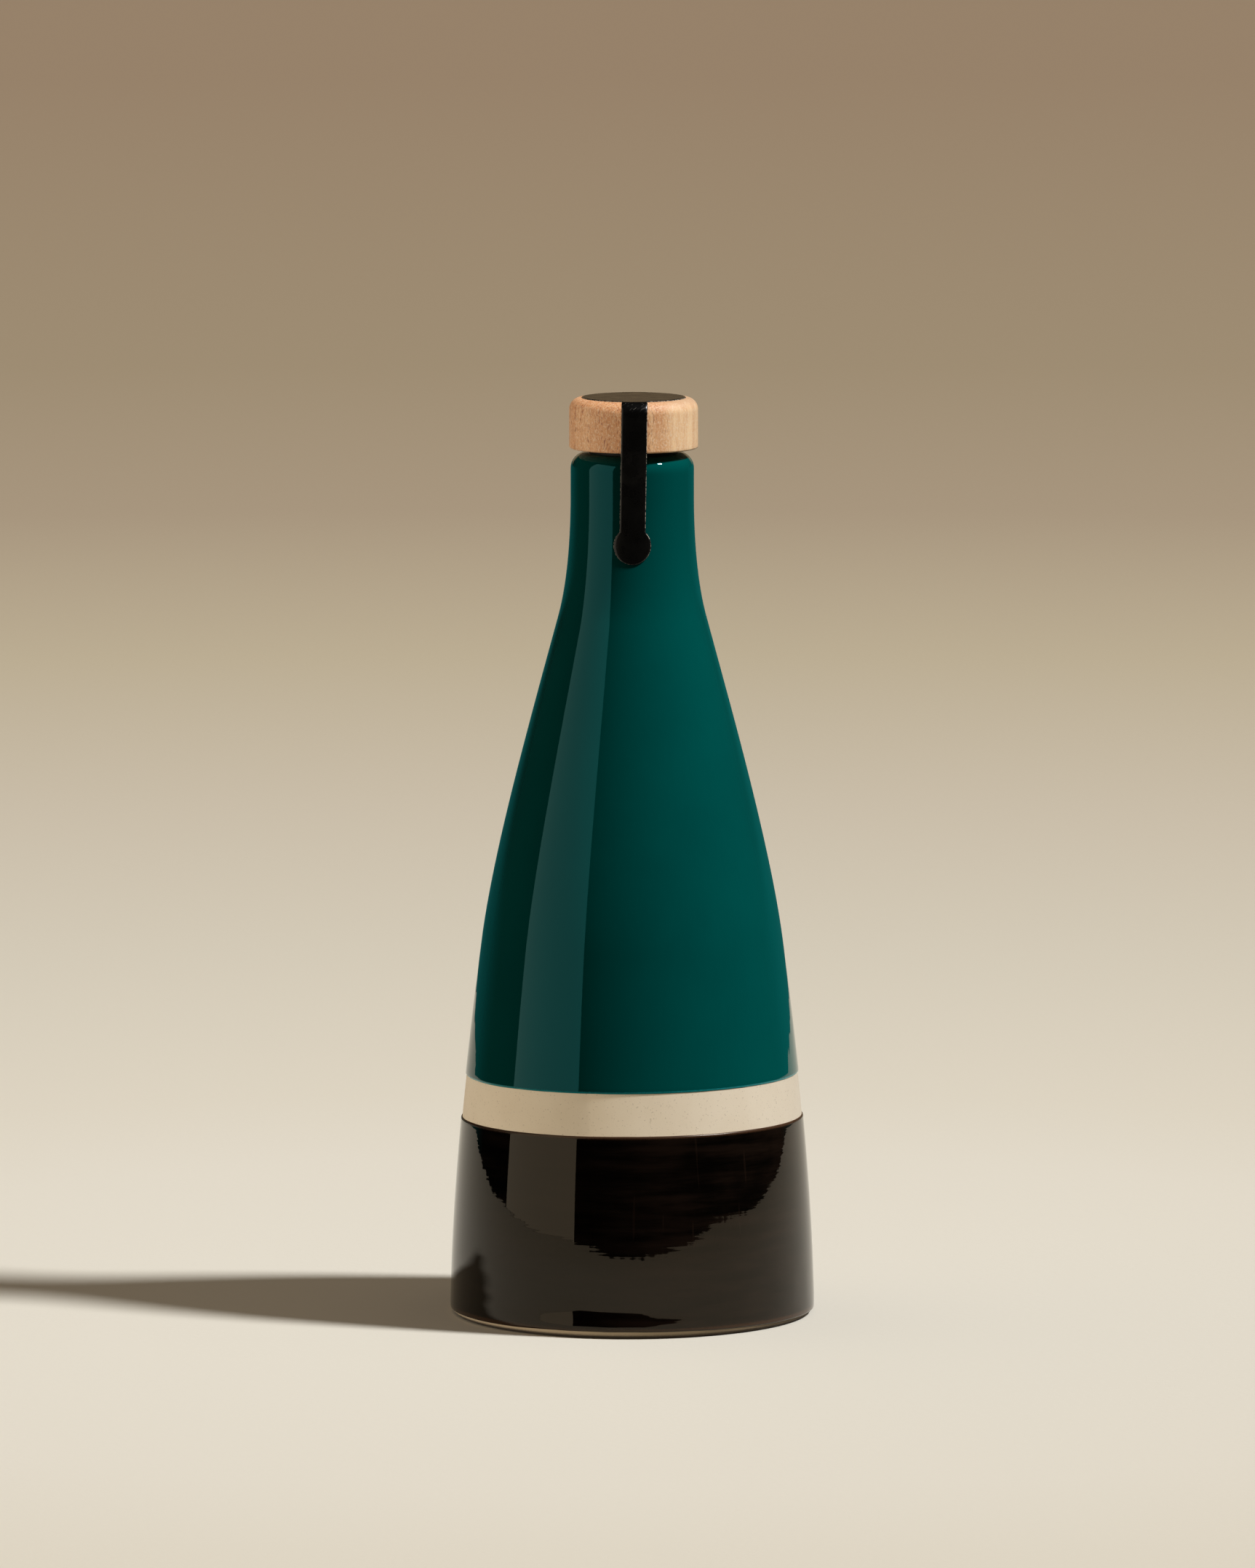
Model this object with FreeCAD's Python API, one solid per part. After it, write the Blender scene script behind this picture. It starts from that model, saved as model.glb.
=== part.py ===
"""Ceramic oil dispenser: a cone-shaped stoneware bottle, shut by a wooden stopper head that a film seal ties down.

Millimetres, +Z up. The origin is the centre of the foot, on the surface that the bottle stands on. The front is -Y.

The bottle is one shut pot: glazed above and below a belt of bare clay, and bare again at its foot.
The glaze stands proud of the clay by its own thickness, and each of its two edges lies in a slightly tilted plane,
because the pot was dipped by hand.
"""
import FreeCAD, Part
import math
import os

from FreeCAD import Vector

# Bottle: heights are above the surface, except where a name says that they are measured down from the lip.
BASE_RADIUS = 44.8
BOTTLE_HEIGHT = 212.0
NECK_RADIUS = 15.07
NECK_STRAIGHT = 10.4          # down from the lip: the neck is a plain cylinder
LIP_ROUNDING = 3.9
SHOULDER_DROP = 40.2          # down from the lip: where the neck's flare turns into the cone
SHOULDER_GROWTH = 3.03        # how much wider than the neck the bottle is there
SHOULDER_SLOPE = 15.1         # degrees from upright
BELLY_HEIGHT = 92.8
BELLY_SHRINK = 8.0            # how much narrower than the base the bottle is there
BELLY_SLOPE = 7.6
HEEL_SLOPE = 1.3
HEEL_ROUNDING = 2.2

# Share of each span's chord that its two handles take.
FLARE_HANDLE = 0.306
CONE_HANDLE = 0.279
SKIRT_HANDLE = 0.337

# Foot and glaze.
GLAZE = 0.3
FOOT_BARE = 1.7               # height of bare clay above the surface
FOOT_RING = 6.5               # width of the ring that the bottle stands on
FOOT_RECESS = 1.2
RECESS_FLARE = 1.0
BELT_TOP = 59.2               # lower edge of the upper glaze, at the axis
BELT_WIDTH = 10.4             # from there down to the upper edge of the lower glaze
BELT_TOP_TILT = (0.5, -0.5)   # degrees of rise towards +X and towards +Y
BELT_BOTTOM_TILT = (0.4, -0.7)

# Stopper: the wooden head stands a little above the lip, on the collar of its plug.
CAP_GAP = 1.0
CAP_SHIFT = 0.33              # the plug was pressed in this far off the bottle's axis, towards +X
CAP_OVERHANG = 0.68           # how far the head reaches out past the neck
CAP_HEIGHT = 12.3
CAP_TOP_ROUNDING = 2.8
CAP_LOWER_ROUNDING = 0.5
COLLAR_INSET = 0.35           # how much smaller the collar is than the lip's flat top

# Film seal: a disc on the head with an arm down the front and one down the back, each ending in a round tab.
FILM = 0.15
FILM_EASE = 0.03              # between the neck and the tab's outer edges
DISC_MARGIN = 0.2             # from the disc's edge to the start of the head's rounding
ARM_WIDTH = 6.33
ARM_LANDING = 6.3             # down from the lip: where the arm meets the neck
ARM_LEAN = 0.9                # degrees from upright, seen from the front
TAB_RADIUS = 4.58
TAB_DROP = 21.5               # down from the lip to the tab's centre

# Places worked out from the sizes above.
FLARE_TOP = BOTTLE_HEIGHT - NECK_STRAIGHT
SHOULDER_HEIGHT = BOTTLE_HEIGHT - SHOULDER_DROP
SHOULDER_RADIUS = NECK_RADIUS + SHOULDER_GROWTH
BELLY_RADIUS = BASE_RADIUS - BELLY_SHRINK
HEEL_CENTRE = Vector(BASE_RADIUS - HEEL_ROUNDING, 0, HEEL_ROUNDING - GLAZE)
BELT_BOTTOM = BELT_TOP - BELT_WIDTH
LIP_FLAT = NECK_RADIUS - LIP_ROUNDING
CAP_RADIUS = NECK_RADIUS + CAP_OVERHANG
CAP_BOTTOM = BOTTLE_HEIGHT + CAP_GAP
CAP_TOP = CAP_BOTTOM + CAP_HEIGHT
CAP_FLAT = CAP_RADIUS - CAP_TOP_ROUNDING
TAB_HEIGHT = BOTTLE_HEIGHT - TAB_DROP
FILM_OFFSET = FILM_EASE + CAP_SHIFT * TAB_RADIUS / NECK_RADIUS   # the film turns about the head's axis

AXIS = Vector(0, 0, 1)
OUTSIDE = 20.0                # how far cutting shapes reach past the bottle


def at(radius, height):
    """A point of a half outline, which is later turned about Z."""
    return Vector(radius, 0, height)


def on_circle(centre, radius, degrees):
    """The point of a circle in the outline's plane, counted from +X towards +Z."""
    turn = math.radians(degrees)
    return centre + Vector(radius * math.cos(turn), 0, radius * math.sin(turn))


def line(start, end):
    return Part.LineSegment(start, end).toShape()


def arc(centre, radius, from_degrees, to_degrees):
    points = [on_circle(centre, radius, d) for d in (from_degrees, (from_degrees + to_degrees) / 2, to_degrees)]
    return Part.Arc(*points).toShape()


def chain(points):
    return [line(a, b) for a, b in zip(points, points[1:])]


def wall_span(upper, upper_slope, lower, lower_slope, handle, shift=0.0):
    """One cubic span of the wall, going down. A slope is how many degrees outward from straight down it runs."""
    reach = handle * (lower - upper).Length
    leave = Vector(math.sin(math.radians(upper_slope)), 0, -math.cos(math.radians(upper_slope)))
    arrive = Vector(math.sin(math.radians(lower_slope)), 0, -math.cos(math.radians(lower_slope)))
    curve = Part.BezierCurve()
    poles = [upper, upper + leave * reach, lower - arrive * reach, lower]
    curve.setPoles([pole + Vector(shift, 0, 0) for pole in poles])
    return curve.toShape()


def flare(shift=0.0):
    return wall_span(at(NECK_RADIUS, FLARE_TOP), 0, at(SHOULDER_RADIUS, SHOULDER_HEIGHT), SHOULDER_SLOPE,
                     FLARE_HANDLE, shift)


def cone():
    return wall_span(at(SHOULDER_RADIUS, SHOULDER_HEIGHT), SHOULDER_SLOPE, at(BELLY_RADIUS, BELLY_HEIGHT),
                     BELLY_SLOPE, CONE_HANDLE)


def skirt(shift=0.0):
    heel = on_circle(HEEL_CENTRE, HEEL_ROUNDING, HEEL_SLOPE)
    return wall_span(at(BELLY_RADIUS, BELLY_HEIGHT), BELLY_SLOPE, heel, HEEL_SLOPE, SKIRT_HANDLE, shift)


def turned(edges):
    """The solid that a closed half outline makes about Z."""
    wire = Part.Wire(Part.__sortEdges__(edges))
    return Part.Face(wire).revolve(Vector(0, 0, 0), AXIS, 360)


def below(height, tilt):
    """Everything under a plane that crosses the axis at a height and rises by tilt degrees to +X and to +Y."""
    size = BOTTLE_HEIGHT
    block = Part.makeBox(2 * size, 2 * size, size, Vector(-size, -size, height - size))
    block.rotate(at(0, height), Vector(0, 1, 0), -tilt[0])
    block.rotate(at(0, height), Vector(1, 0, 0), tilt[1])
    return block


def glazed_pot():
    """The pot with glaze all over, its lip, its heel and the recess under it."""
    meets_floor = -math.degrees(math.asin(HEEL_CENTRE.z / HEEL_ROUNDING))
    contact = on_circle(HEEL_CENTRE, HEEL_ROUNDING, meets_floor)
    recess_edge = HEEL_CENTRE.x - FOOT_RING
    lip_centre = at(LIP_FLAT, BOTTLE_HEIGHT - LIP_ROUNDING)
    edges = chain([at(0, BOTTLE_HEIGHT), at(LIP_FLAT, BOTTLE_HEIGHT)])
    edges.append(arc(lip_centre, LIP_ROUNDING, 90, 0))
    edges.append(line(on_circle(lip_centre, LIP_ROUNDING, 0), at(NECK_RADIUS, FLARE_TOP)))
    edges += [flare(), cone(), skirt()]
    edges.append(arc(HEEL_CENTRE, HEEL_ROUNDING, HEEL_SLOPE, meets_floor))
    edges += chain([contact, at(recess_edge, 0), at(recess_edge - RECESS_FLARE, FOOT_RECESS),
                    at(0, FOOT_RECESS), at(0, BOTTLE_HEIGHT)])
    return turned(edges)


def belt_groove():
    """What is missing round the belt: the glaze between its two tilted edges."""
    bare = skirt(-GLAZE)
    lower, upper = sorted((vertex.Point for vertex in bare.Vertexes), key=lambda point: point.z)
    far = BASE_RADIUS + OUTSIDE
    coat = turned([bare] + chain([upper, at(far, upper.z), at(far, lower.z), lower]))
    return coat.common(below(BELT_TOP, BELT_TOP_TILT)).cut(below(BELT_BOTTOM, BELT_BOTTOM_TILT))


def foot_groove():
    """What is missing round the foot: the glaze that was wiped off so that the pot stands on bare clay."""
    bare_rounding = HEEL_ROUNDING - GLAZE
    edge_angle = math.degrees(math.asin((FOOT_BARE - HEEL_CENTRE.z) / bare_rounding))
    glaze_edge = on_circle(HEEL_CENTRE, bare_rounding, edge_angle)
    far = BASE_RADIUS + OUTSIDE
    underside = on_circle(HEEL_CENTRE, bare_rounding, -90)
    return turned([arc(HEEL_CENTRE, bare_rounding, edge_angle, -90)]
                  + chain([underside, at(underside.x, -OUTSIDE), at(far, -OUTSIDE), at(far, glaze_edge.z),
                           glaze_edge]))


def bottle():
    return glazed_pot().cut(belt_groove()).cut(foot_groove())


def collar():
    """The part of the stopper's plug that shows between the lip and the head."""
    return Part.makeCylinder(LIP_FLAT - COLLAR_INSET, CAP_GAP, at(CAP_SHIFT, BOTTLE_HEIGHT), AXIS)


def cap():
    """The turned wooden head, with a wide rounding above and a small one below."""
    top_centre = at(CAP_FLAT, CAP_TOP - CAP_TOP_ROUNDING)
    lower_centre = at(CAP_RADIUS - CAP_LOWER_ROUNDING, CAP_BOTTOM + CAP_LOWER_ROUNDING)
    head = turned([
        line(at(0, CAP_TOP), at(CAP_FLAT, CAP_TOP)),
        arc(top_centre, CAP_TOP_ROUNDING, 90, 0),
        line(on_circle(top_centre, CAP_TOP_ROUNDING, 0), on_circle(lower_centre, CAP_LOWER_ROUNDING, 0)),
        arc(lower_centre, CAP_LOWER_ROUNDING, 0, -90),
        *chain([on_circle(lower_centre, CAP_LOWER_ROUNDING, -90), at(0, CAP_BOTTOM), at(0, CAP_TOP)]),
    ])
    return head.translated(at(CAP_SHIFT, 0))


def film_path(out):
    """One face of the film, out from its inner one, from the head's middle down past the tab."""
    top_centre = at(CAP_FLAT, CAP_TOP - CAP_TOP_ROUNDING)
    side = CAP_RADIUS + out
    neck = NECK_RADIUS + FILM_OFFSET + out
    return [
        line(at(0, CAP_TOP + out), at(CAP_FLAT, CAP_TOP + out)),
        arc(top_centre, CAP_TOP_ROUNDING + out, 90, 0),
        *chain([at(side, top_centre.z), at(side, CAP_BOTTOM + CAP_LOWER_ROUNDING),
                at(neck, BOTTLE_HEIGHT - ARM_LANDING), at(neck, FLARE_TOP)]),
        flare(FILM_OFFSET + out),
    ]


def seal():
    """The film, cut from a skin of revolution by the outline that it was die-cut to."""
    foot = at(SHOULDER_RADIUS + FILM_OFFSET, SHOULDER_HEIGHT)
    ends = [line(at(0, CAP_TOP), at(0, CAP_TOP + FILM)), line(foot, foot + Vector(FILM, 0, 0))]
    skin = turned(film_path(0) + film_path(FILM) + ends).translated(at(CAP_SHIFT, 0))
    reach = CAP_RADIUS + OUTSIDE
    disc = Part.makeCylinder(CAP_FLAT - DISC_MARGIN, 2 * FILM, at(CAP_SHIFT, CAP_TOP), AXIS)
    arm = Part.makeBox(ARM_WIDTH, 2 * reach, CAP_TOP + OUTSIDE - TAB_HEIGHT,
                       Vector(-ARM_WIDTH / 2, -reach, TAB_HEIGHT))
    arm.rotate(at(0, TAB_HEIGHT), Vector(0, 1, 0), ARM_LEAN)
    tab = Part.makeCylinder(TAB_RADIUS, 2 * reach, Vector(0, -reach, TAB_HEIGHT), Vector(0, 1, 0))
    return skin.common(disc.fuse([arm, tab]))


def main():
    os.makedirs("parts", exist_ok=True)
    for name, make in {"bottle": bottle, "stopper_collar": collar, "cap": cap, "seal": seal}.items():
        shape = make()
        solids = shape.Solids
        if len(solids) != 1 or not shape.isValid():
            raise RuntimeError(f"{name} should be one valid solid, and it is {len(solids)}")
        solids[0].exportStep(f"parts/{name}.step")
        print(f"{name}: {solids[0].Volume / 1000:.2f} cm3, box {solids[0].BoundBox}")


main()
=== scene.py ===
"""Looks of the ceramic oil dispenser: a glazed stoneware bottle, shut by a beech head under a film seal.

Sizes are in millimetres and meshes in metres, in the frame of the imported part: +Z up, front at -Y.
"""
import math

import bmesh
import bpy
import numpy as np
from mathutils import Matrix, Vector, noise


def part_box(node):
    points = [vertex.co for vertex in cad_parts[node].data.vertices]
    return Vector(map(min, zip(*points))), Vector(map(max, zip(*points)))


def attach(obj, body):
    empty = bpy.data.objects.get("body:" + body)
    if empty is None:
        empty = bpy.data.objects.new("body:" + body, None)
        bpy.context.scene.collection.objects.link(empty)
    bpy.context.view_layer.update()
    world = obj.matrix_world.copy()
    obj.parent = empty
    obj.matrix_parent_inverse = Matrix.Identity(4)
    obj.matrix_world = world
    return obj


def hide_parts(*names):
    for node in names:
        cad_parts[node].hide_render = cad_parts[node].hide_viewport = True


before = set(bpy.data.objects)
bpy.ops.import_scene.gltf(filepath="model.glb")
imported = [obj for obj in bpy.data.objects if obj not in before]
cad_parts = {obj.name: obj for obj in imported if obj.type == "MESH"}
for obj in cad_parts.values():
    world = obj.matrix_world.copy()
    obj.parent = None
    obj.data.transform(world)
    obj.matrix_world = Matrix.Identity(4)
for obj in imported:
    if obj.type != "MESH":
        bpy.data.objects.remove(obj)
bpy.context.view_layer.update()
scene = bpy.context.scene
scene.view_settings.view_transform = "Standard"


# Camera: three metres in front of the bottle and half a metre up, looking slightly down.
# The long lens keeps the bottle's sides almost free of perspective.
CAMERA_PLACE = (-0.00116, -3.180, 0.5236)
CAMERA_PITCH = 82.95          # degrees from straight down
CAMERA_LENS = 300.56
CAMERA_SENSOR = 36.0

camera_data = bpy.data.cameras.new("camera")
camera_data.lens = CAMERA_LENS
camera_data.sensor_width = CAMERA_SENSOR
camera_data.clip_start = 0.1
camera_data.clip_end = 60.0
camera = bpy.data.objects.new("camera", camera_data)
camera.location = CAMERA_PLACE
camera.rotation_euler = (math.radians(CAMERA_PITCH), 0.0, 0.0)
scene.collection.objects.link(camera)
scene.camera = camera


# Clay pot: pale buff stoneware, slip cast in one piece and fired, with a foot ring turned on its underside.
# The clay shows in the belt between the two glazes and at the wiped foot; everywhere else it is under glaze.
MM = 0.001
TURN_STEPS = 256              # facets round the bottle
LIP_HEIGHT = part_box("bottle")[1].z / MM
BASE_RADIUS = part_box("bottle")[1].x / MM
NECK_RADIUS = 15.07
NECK_STRAIGHT = 10.4          # down from the lip: the neck is a plain cylinder
LIP_ROUNDING = 3.9
SHOULDER_DROP = 40.2          # down from the lip
SHOULDER_RADIUS = 18.1
SHOULDER_SLOPE = 15.1         # degrees from upright
BELLY_HEIGHT = 92.8
BELLY_RADIUS = 36.8
BELLY_SLOPE = 7.6
HEEL_SLOPE = 1.3
HEEL_ROUNDING = 2.2
FLARE_HANDLE = 0.306          # share of a span's chord that its handles take
CONE_HANDLE = 0.279
SKIRT_HANDLE = 0.337
GLAZE = 0.3                   # thickness of the glaze
FOOT_RING = 6.5
FOOT_RECESS = 1.2
RECESS_FLARE = 1.0
HAND_WAVE = 0.04              # how far the wall dips under its true line
WAVE_LENGTH = 26.0
CLAY_RELIEF = 0.2             # how much deeper the clay lies under the lower glaze, which is thicker
RELIEF_LOW, RELIEF_HIGH = 4.0, 42.0       # heights between which it lies deeper
RELIEF_RAMP = 4.0             # height over which it sinks to that depth


def wall_span(upper, upper_slope, lower, lower_slope, handle, steps=160):
    """Points (radius, height) of one cubic span of the wall, going down."""
    upper, lower = np.array(upper), np.array(lower)
    reach = handle * np.linalg.norm(lower - upper)
    leave = np.array((math.sin(math.radians(upper_slope)), -math.cos(math.radians(upper_slope))))
    arrive = np.array((math.sin(math.radians(lower_slope)), -math.cos(math.radians(lower_slope))))
    t = np.linspace(0, 1, steps)[:, None]
    return ((1 - t) ** 3 * upper + 3 * (1 - t) ** 2 * t * (upper + leave * reach)
            + 3 * (1 - t) * t ** 2 * (lower - arrive * reach) + t ** 3 * lower)


def bend(centre, radius, from_degrees, to_degrees, steps=40):
    """Points (radius, height) of a circle, counted from outward towards up."""
    turn = np.radians(np.linspace(from_degrees, to_degrees, steps))
    return np.stack([centre[0] + radius * np.cos(turn), centre[1] + radius * np.sin(turn)], 1)


def joined(pieces):
    """One outline from pieces that meet end to end."""
    points = [pieces[0]] + [piece[1:] for piece in pieces[1:]]
    return np.concatenate([np.array(piece, float) for piece in points])


def distances(points):
    """How far along an outline each of its points lies."""
    return np.concatenate([[0.0], np.cumsum(np.linalg.norm(np.diff(points, axis=0), axis=1))])


SHOULDER_HEIGHT = LIP_HEIGHT - SHOULDER_DROP
LIP_FLAT = NECK_RADIUS - LIP_ROUNDING
HEEL_CENTRE = (BASE_RADIUS - HEEL_ROUNDING, HEEL_ROUNDING - GLAZE)
heel_start = bend(HEEL_CENTRE, HEEL_ROUNDING, HEEL_SLOPE, HEEL_SLOPE, 1)[0]
wall = joined([
    [(0.0, LIP_HEIGHT), (LIP_FLAT, LIP_HEIGHT)],
    bend((LIP_FLAT, LIP_HEIGHT - LIP_ROUNDING), LIP_ROUNDING, 90, 0),
    [(NECK_RADIUS, LIP_HEIGHT - LIP_ROUNDING), (NECK_RADIUS, LIP_HEIGHT - NECK_STRAIGHT)],
    wall_span((NECK_RADIUS, LIP_HEIGHT - NECK_STRAIGHT), 0, (SHOULDER_RADIUS, SHOULDER_HEIGHT),
              SHOULDER_SLOPE, FLARE_HANDLE),
    wall_span((SHOULDER_RADIUS, SHOULDER_HEIGHT), SHOULDER_SLOPE, (BELLY_RADIUS, BELLY_HEIGHT),
              BELLY_SLOPE, CONE_HANDLE),
    wall_span((BELLY_RADIUS, BELLY_HEIGHT), BELLY_SLOPE, heel_start, HEEL_SLOPE, SKIRT_HANDLE),
    bend(HEEL_CENTRE, HEEL_ROUNDING, HEEL_SLOPE, -90),
])
wall_along = distances(wall)

# The way out from the wall at each of its points, and the angles of the rows' points round Z.
along_step = np.gradient(wall, axis=0)
wall_out = np.stack([-along_step[:, 1], along_step[:, 0]], 1)
wall_out /= np.linalg.norm(wall_out, axis=1)[:, None]
turn_angles = np.arange(TURN_STEPS) * 2 * math.pi / TURN_STEPS


def along_at(height):
    """How far along the wall's outline from the middle of the lip a height is."""
    return np.interp(-np.asarray(height, float), -wall[1:, 1], wall_along[1:])


def on_wall(along, depth):
    """Radius and height of the points at a depth under the glazed surface."""
    spot = [np.interp(along, wall_along, column) for column in (*wall.T, *wall_out.T)]
    return spot[0] - depth * spot[2], spot[1] - depth * spot[3]


def hand_wave(radius, height, length=WAVE_LENGTH, seed=0.0):
    """Slow dips from 0 to 1 over a turned surface, as hand work leaves them."""
    x, y = radius * np.cos(turn_angles), radius * np.sin(turn_angles)
    z = np.broadcast_to(height, np.broadcast(radius, x).shape)
    spots = np.stack([(x + 0 * z).ravel(), (y + 0 * z).ravel(), z.ravel()], 1) / length + seed
    dips = [noise.noise(Vector(spot)) for spot in spots.tolist()]
    return np.clip(0.5 + 0.5 * np.array(dips).reshape(z.shape), 0, 1)


def turned_piece(name, radius, height, centre_x=0.0, hollow=False):
    """A mesh from rows of points round Z. A hollow one closes on itself, others close at the axis."""
    rows, steps = radius.shape
    angles = np.arange(steps) * 2 * math.pi / steps
    x, y = centre_x + radius * np.cos(angles), radius * np.sin(angles)
    points = np.stack([x.ravel(), y.ravel(), height.ravel()], 1)
    lower = np.arange(rows if hollow else rows - 1)[:, None] * steps
    upper = (lower + steps) % (rows * steps)
    here, following = np.arange(steps), (np.arange(steps) + 1) % steps
    faces = np.stack([lower + here, upper + here, upper + following, lower + following], -1)
    faces = faces.reshape(-1, 4).tolist()
    if not hollow:
        last = (rows - 1) * steps
        points = np.concatenate([points, [(centre_x, 0, height[0].mean()), (centre_x, 0, height[-1].mean())]])
        faces += [(len(points) - 2, a, b) for a, b in zip(here.tolist(), following.tolist())]
        faces += [(len(points) - 1, last + b, last + a) for a, b in zip(here.tolist(), following.tolist())]
    return finished_piece(name, points * MM, faces)


def finished_piece(name, points, faces, tints=None):
    """An object from points in metres, smooth shaded, with its faces turned outward."""
    mesh = bpy.data.meshes.new(name)
    mesh.from_pydata(np.asarray(points).tolist(), [], faces)
    work = bmesh.new()
    work.from_mesh(mesh)
    if tints is not None:
        for face, tint in zip(work.faces, tints):
            face.material_index = tint
    bmesh.ops.remove_doubles(work, verts=work.verts, dist=1e-7)
    bmesh.ops.recalc_face_normals(work, faces=work.faces)
    work.to_mesh(mesh)
    work.free()
    mesh.shade_smooth()
    piece = bpy.data.objects.new(name, mesh)
    scene.collection.objects.link(piece)
    return piece


class Wire:
    """A value on its way through a material. Sums on it add their own Math nodes."""

    def __init__(self, tree, socket=None):
        self.tree = tree
        self.socket = socket

    def fill(self, node, inputs):
        """Gives a node's sockets their values or links."""
        for name, value in inputs.items():
            if isinstance(value, Wire):
                self.tree.links.new(value.socket, node.inputs[name])
            else:
                node.inputs[name].default_value = value

    def make(self, kind, settings=None, inputs=None, output=0):
        """Adds a node: its settings first, then its sockets."""
        node = self.tree.nodes.new(kind)
        for name, value in (settings or {}).items():
            if name == "stops":
                ramp = node.color_ramp
                for place, colour in value[len(ramp.elements):]:
                    ramp.elements.new(place)
                for element, (place, colour) in zip(ramp.elements, value):
                    element.position = place
                    element.color = (*colour, 1.0)
            else:
                setattr(node, name, value)
        self.fill(node, inputs or {})
        return Wire(self.tree, node.outputs[output])

    def maths(self, operation, *values):
        """Adds one Math node."""
        return self.make("ShaderNodeMath", {"operation": operation}, dict(enumerate(values)))

    def __add__(self, other):
        return self.maths("ADD", self, other)

    def __sub__(self, other):
        return self.maths("SUBTRACT", self, other)

    def __rsub__(self, other):
        return self.maths("SUBTRACT", other, self)

    def __mul__(self, other):
        return self.maths("MULTIPLY", self, other)

    __radd__ = __add__
    __rmul__ = __mul__

    def rising(self, low, high):
        """0 below low and 1 above high, with a soft step between."""
        return self.make("ShaderNodeMapRange", {"interpolation_type": "SMOOTHSTEP"},
                         {"Value": self, "From Min": low, "From Max": high})

    def colour(self, at_0, at_1):
        """The colour that this value picks between two. A Mix node has its colours on sockets 6 and 7."""
        ends = {socket: value if isinstance(value, Wire) else (*value, 1.0)
                for socket, value in ((6, at_0), (7, at_1))}
        return self.make("ShaderNodeMix", {"data_type": "RGBA"}, {0: self, **ends}, output=2)

    def stretched(self, x, y, z):
        """This place with each axis scaled."""
        return self.make("ShaderNodeVectorMath", {"operation": "MULTIPLY"}, {0: self, 1: (x, y, z)})

    def speckle(self, scale, detail=2.0, roughness=0.5):
        """Noise over this place, with about this many lumps to the millimetre."""
        return self.make("ShaderNodeTexNoise", None,
                         {"Vector": self, "Scale": scale, "Detail": detail, "Roughness": roughness})

    def axis(self, letter):
        return self.make("ShaderNodeSeparateXYZ", None, {0: self}, output=letter)

    def bump(self, strength=1.0):
        """A normal from a height in millimetres."""
        return self.make("ShaderNodeBump", None, {"Strength": strength, "Distance": MM, "Height": self})


def new_finish(name):
    """A material, its principled shader, and its place in millimetres as the first wire."""
    finish = bpy.data.materials.new(name)
    finish.use_nodes = True
    shader = finish.node_tree.nodes["Principled BSDF"]
    place = Wire(finish.node_tree).make("ShaderNodeTexCoord", output="Object")
    return finish, shader, place.stretched(1 / MM, 1 / MM, 1 / MM)


# Rows over the lip, down the wall and round the heel.
LIP_ARC = 6.1                 # along the lip's rounding
WALL_ROWS, HEEL_ROWS = 190, 14
clay_along = np.concatenate([
    np.linspace(2.0, LIP_FLAT, 4), along_at(LIP_HEIGHT) + np.linspace(0, LIP_ARC, 8)[1:],
    np.linspace(along_at(LIP_HEIGHT - LIP_ROUNDING - 1), along_at(HEEL_ROUNDING), WALL_ROWS),
    np.linspace(along_at(HEEL_CENTRE[1]), wall_along[-1], HEEL_ROWS),
])
clay_along = np.unique(np.round(clay_along, 4))
clay_level = np.interp(clay_along, wall_along, wall[:, 1])
relief = CLAY_RELIEF * np.clip((clay_level - RELIEF_LOW) / RELIEF_RAMP, 0, 1)
relief = relief * np.clip((RELIEF_HIGH - clay_level) / RELIEF_RAMP, 0, 1)
clay_r, clay_z = on_wall(clay_along[:, None] + 0 * turn_angles, GLAZE + relief[:, None])
clay_wave = hand_wave(clay_r, clay_z, seed=7.1)
off_the_foot = np.clip((clay_z - 0.3) / 2, 0, 1)
clay_r = clay_r - HAND_WAVE * clay_wave * off_the_foot

# Points (radius, height) across the foot ring, up its softened inner edge and over the recess.
FLAT_RINGS = (25.0, 15.0, 6.0, 2.0)   # rings over the flat of the recess, so that its faces aren't long
ring_inner = HEEL_CENTRE[0] - FOOT_RING
recess_edge = ring_inner - RECESS_FLARE
under = np.array([
    (HEEL_CENTRE[0] - 3, 0.0), (ring_inner + 0.4, 0.0), (ring_inner + 0.1, 0.05), (ring_inner - 0.1, 0.22),
    (recess_edge + 0.2, FOOT_RECESS - 0.25), (recess_edge - 0.1, FOOT_RECESS - 0.05),
    (recess_edge - 0.5, FOOT_RECESS), *((radius, FOOT_RECESS) for radius in FLAT_RINGS),
])
clay_body = turned_piece(
    "clay_body",
    np.concatenate([clay_r, np.repeat(under[:, :1], TURN_STEPS, 1)]),
    np.concatenate([clay_z, np.repeat(under[:, 1:], TURN_STEPS, 1)]),
)

BARE_CLAY = (0.790, 0.680, 0.512)
CLAY_WARM = (0.700, 0.578, 0.410)
CLAY_SPECK = (0.230, 0.150, 0.085)
CLAY_FOOT = (0.450, 0.330, 0.190)
PAINTED_CONTACT_SHADE = (0.045, 0.030, 0.018)
clay_finish, clay_shader, place = new_finish("bare_clay")
clouds = place.speckle(0.09, 3.0).rising(0.30, 0.75)
grains = place.speckle(3.2, 3.0, 0.7)
specks = place.speckle(2.1, 1.0).rising(0.66, 0.74)
pinholes = place.speckle(0.8, 2.0).rising(0.735, 0.76)
fired = (clouds * 0.35 + grains * 0.30).colour(BARE_CLAY, CLAY_WARM)
clay_bump = (grains * 0.012 - pinholes * 0.03).bump()
foot_tone = (1 - place.axis("Z").rising(2.2, 3.2)) * 0.75
# Painted shade: below about 1 mm the clay turns near-black, where the foot meets the floor.
contact_shade = 1 - (place.axis("Z") + grains * 0.5).rising(0.75, 1.45)
wiped = foot_tone.colour((specks * 0.32 + pinholes * 0.2).colour(fired, CLAY_SPECK), CLAY_FOOT)
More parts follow.
